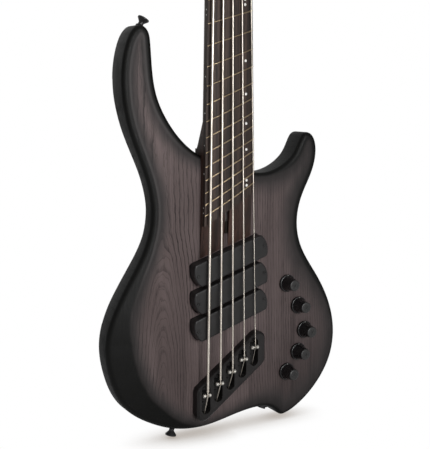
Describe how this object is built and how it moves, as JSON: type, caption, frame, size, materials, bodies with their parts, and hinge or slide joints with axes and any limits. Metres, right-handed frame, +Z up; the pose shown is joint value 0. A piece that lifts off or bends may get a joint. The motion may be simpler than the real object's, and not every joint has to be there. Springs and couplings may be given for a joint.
{
  "type": "electric bass guitar",
  "caption": "Extended-range solid-body electric bass guitar with slanted frets, bolt-on neck, tilted bar pickups, slanted saddles and a curved row of control knobs.",
  "frame": {"origin": "on the flat back of the body, on the middle string's line, level with the lowest string's saddle", "axes": "+Z up the neck towards the headstock, +Y out of the back, so -Y is the front, and +X to the treble side"},
  "size_m": [0.3413, 0.0649, 1.1929],
  "materials": {
    "ash_body": "open-grained ash stained dark grey-brown, satin, black at the edges",
    "neck_wood": "oiled dark reddish-brown hardwood, satin",
    "fingerboard_wood": "close-grained near-black hardwood, unlacquered",
    "fret_wire": "polished nickel alloy",
    "pearl_dots": "pale pearl",
    "black_composite": "black composite",
    "steel": "plain steel",
    "black_screws": "blackened steel",
    "black_hardware": "satin black plating",
    "cover_plastic": "textured black plastic",
    "zinc_steel": "zinc-plated steel",
    "circuit_laminate": "green laminate",
    "battery_case": "printed metal can",
    "brass_nut": "turned brass",
    "string_winding": "nickel round winding",
    "knob_black": "black anodised aluminium, gloss skirt and satin end",
    "saddle_black": "satin black plating",
    "spool_steel": "bright plated",
    "pickup_plastic": "satin black moulded plastic",
    "coil_potting": "potted coils"
  },
  "bodies": {
    "instrument": {"body": "ash_body", "neck": "neck_wood", "fingerboard": "fingerboard_wood", "frets": "fret_wire", "fret_markers": "pearl_dots", "nut": "black_composite", "truss_rod": "steel", "neck_bolts": "black_screws", "neck_ferrules": "black_hardware", "bridge_plate": "black_hardware", "bridge_screws": "black_screws", "strap_buttons": "black_hardware", "control_cover": "cover_plastic", "cover_screws": "black_screws", "potentiometers": "zinc_steel", "circuit_board": "circuit_laminate", "battery": "battery_case", "output_jack": "black_hardware", "tuner_housings": "black_hardware", "tuner_bushings": "black_hardware", "string_1": "string_winding", "string_2": "string_winding", "string_3": "string_winding", "string_4": "string_winding", "string_5": "string_winding"},
    "knob_1": {"knob_1": "knob_black"},
    "knob_2": {"knob_2": "knob_black"},
    "knob_3": {"knob_3": "knob_black"},
    "knob_4": {"knob_4": "knob_black"},
    "knob_5": {"knob_5": "knob_black"},
    "tuner_key_1": {"tuner_key_1": "black_hardware"},
    "tuner_post_1": {"tuner_post_1": "black_hardware"},
    "tuner_key_2": {"tuner_key_2": "black_hardware"},
    "tuner_post_2": {"tuner_post_2": "black_hardware"},
    "tuner_key_3": {"tuner_key_3": "black_hardware"},
    "tuner_post_3": {"tuner_post_3": "black_hardware"},
    "tuner_key_4": {"tuner_key_4": "black_hardware"},
    "tuner_post_4": {"tuner_post_4": "black_hardware"},
    "tuner_key_5": {"tuner_key_5": "black_hardware"},
    "tuner_post_5": {"tuner_post_5": "black_hardware"},
    "saddle_1": {"saddle_block_1": "saddle_black", "saddle_spool_1": "spool_steel"},
    "saddle_2": {"saddle_block_2": "saddle_black", "saddle_spool_2": "spool_steel"},
    "saddle_3": {"saddle_block_3": "saddle_black", "saddle_spool_3": "spool_steel"},
    "saddle_4": {"saddle_block_4": "saddle_black", "saddle_spool_4": "spool_steel"},
    "saddle_5": {"saddle_block_5": "saddle_black", "saddle_spool_5": "spool_steel"},
    "pickup_1": {"pickup_cover_1": "pickup_plastic", "pickup_coils_1": "coil_potting", "pickup_screws_1": "black_screws"},
    "pickup_2": {"pickup_cover_2": "pickup_plastic", "pickup_coils_2": "coil_potting", "pickup_screws_2": "black_screws"},
    "pickup_3": {"pickup_cover_3": "pickup_plastic", "pickup_coils_3": "coil_potting", "pickup_screws_3": "black_screws"},
    "truss_rod_nut": {"truss_rod_nut": "brass_nut"}
  },
  "joints": [
    {"name": "knob_1_turn", "type": "hinge", "parent": "instrument", "child": "knob_1", "pos_m": [0.09514, -0.038, 0.13129], "axis": [0, -1, 0], "range_deg": [-140, 140]},
    {"name": "knob_2_turn", "type": "hinge", "parent": "instrument", "child": "knob_2", "pos_m": [0.11389, -0.038, 0.09899], "axis": [0, -1, 0], "range_deg": [-60, 60]},
    {"name": "knob_3_turn", "type": "hinge", "parent": "instrument", "child": "knob_3", "pos_m": [0.12412, -0.038, 0.06356], "axis": [0, -1, 0], "range_deg": [-140, 140]},
    {"name": "knob_4_turn", "type": "hinge", "parent": "instrument", "child": "knob_4", "pos_m": [0.11406, -0.038, 0.03386], "axis": [0, -1, 0], "range_deg": [-140, 140]},
    {"name": "knob_5_turn", "type": "hinge", "parent": "instrument", "child": "knob_5", "pos_m": [0.09582, -0.038, 0.00808], "axis": [0, -1, 0], "range_deg": [-140, 140]},
    {"name": "tuner_key_1_turn", "type": "hinge", "parent": "instrument", "child": "tuner_key_1", "pos_m": [-0.02447, -0.01573, 1.00396], "axis": [-1, 0, 0], "continuous": true},
    {"name": "tuner_post_1_turn", "type": "hinge", "parent": "instrument", "child": "tuner_post_1", "pos_m": [-0.02447, -0.03666, 0.99645], "axis": [0, -0.9877, 0.1564], "continuous": true},
    {"name": "tuner_key_2_turn", "type": "hinge", "parent": "instrument", "child": "tuner_key_2", "pos_m": [-0.01461, -0.00791, 1.05335], "axis": [-1, 0, 0], "continuous": true},
    {"name": "tuner_post_2_turn", "type": "hinge", "parent": "instrument", "child": "tuner_post_2", "pos_m": [-0.01461, -0.02884, 1.04583], "axis": [0, -0.9877, 0.1564], "continuous": true},
    {"name": "tuner_key_3_turn", "type": "hinge", "parent": "instrument", "child": "tuner_key_3", "pos_m": [-0.0059, -0.00008, 1.10273], "axis": [-1, 0, 0], "continuous": true},
    {"name": "tuner_post_3_turn", "type": "hinge", "parent": "instrument", "child": "tuner_post_3", "pos_m": [-0.0059, -0.02102, 1.09522], "axis": [0, -0.9877, 0.1564], "continuous": true},
    {"name": "tuner_key_4_turn", "type": "hinge", "parent": "instrument", "child": "tuner_key_4", "pos_m": [0.01386, -0.00634, 1.06323], "axis": [1, 0, 0], "continuous": true},
    {"name": "tuner_post_4_turn", "type": "hinge", "parent": "instrument", "child": "tuner_post_4", "pos_m": [0.01386, -0.02727, 1.05571], "axis": [0, -0.9877, 0.1564], "continuous": true},
    {"name": "tuner_key_5_turn", "type": "hinge", "parent": "instrument", "child": "tuner_key_5", "pos_m": [0.02264, -0.01416, 1.01384], "axis": [1, 0, 0], "continuous": true},
    {"name": "tuner_post_5_turn", "type": "hinge", "parent": "instrument", "child": "tuner_post_5", "pos_m": [0.02264, -0.0351, 1.00632], "axis": [0, -0.9877, 0.1564], "continuous": true},
    {"name": "saddle_1_slide", "type": "slide", "parent": "instrument", "child": "saddle_1", "axis": [0, 0, 1], "range_m": [0, 0.004]},
    {"name": "saddle_2_slide", "type": "slide", "parent": "instrument", "child": "saddle_2", "axis": [0, 0, 1], "range_m": [0, 0.004]},
    {"name": "saddle_3_slide", "type": "slide", "parent": "instrument", "child": "saddle_3", "axis": [0, 0, 1], "range_m": [0, 0.004]},
    {"name": "saddle_4_slide", "type": "slide", "parent": "instrument", "child": "saddle_4", "axis": [0, 0, 1], "range_m": [0, 0.004]},
    {"name": "saddle_5_slide", "type": "slide", "parent": "instrument", "child": "saddle_5", "axis": [0, 0, 1], "range_m": [0, 0.004]},
    {"name": "pickup_1_height", "type": "slide", "parent": "instrument", "child": "pickup_1", "axis": [0, -1, 0], "range_m": [-0.001, 0.001]},
    {"name": "pickup_2_height", "type": "slide", "parent": "instrument", "child": "pickup_2", "axis": [0, -1, 0], "range_m": [-0.001, 0.001]},
    {"name": "pickup_3_height", "type": "slide", "parent": "instrument", "child": "pickup_3", "axis": [0, -1, 0], "range_m": [-0.001, 0.001]},
    {"name": "truss_rod_nut_turn", "type": "hinge", "parent": "instrument", "child": "truss_rod_nut", "pos_m": [0, -0.038, 0.207], "axis": [0, 0, 1], "range_deg": [-180, 180]}
  ],
  "couplings": [
    {"joint": "tuner_post_1_turn", "follows": "tuner_key_1_turn", "ratio": 0.05},
    {"joint": "tuner_post_2_turn", "follows": "tuner_key_2_turn", "ratio": 0.05},
    {"joint": "tuner_post_3_turn", "follows": "tuner_key_3_turn", "ratio": 0.05},
    {"joint": "tuner_post_4_turn", "follows": "tuner_key_4_turn", "ratio": 0.05},
    {"joint": "tuner_post_5_turn", "follows": "tuner_key_5_turn", "ratio": 0.05}
  ]
}
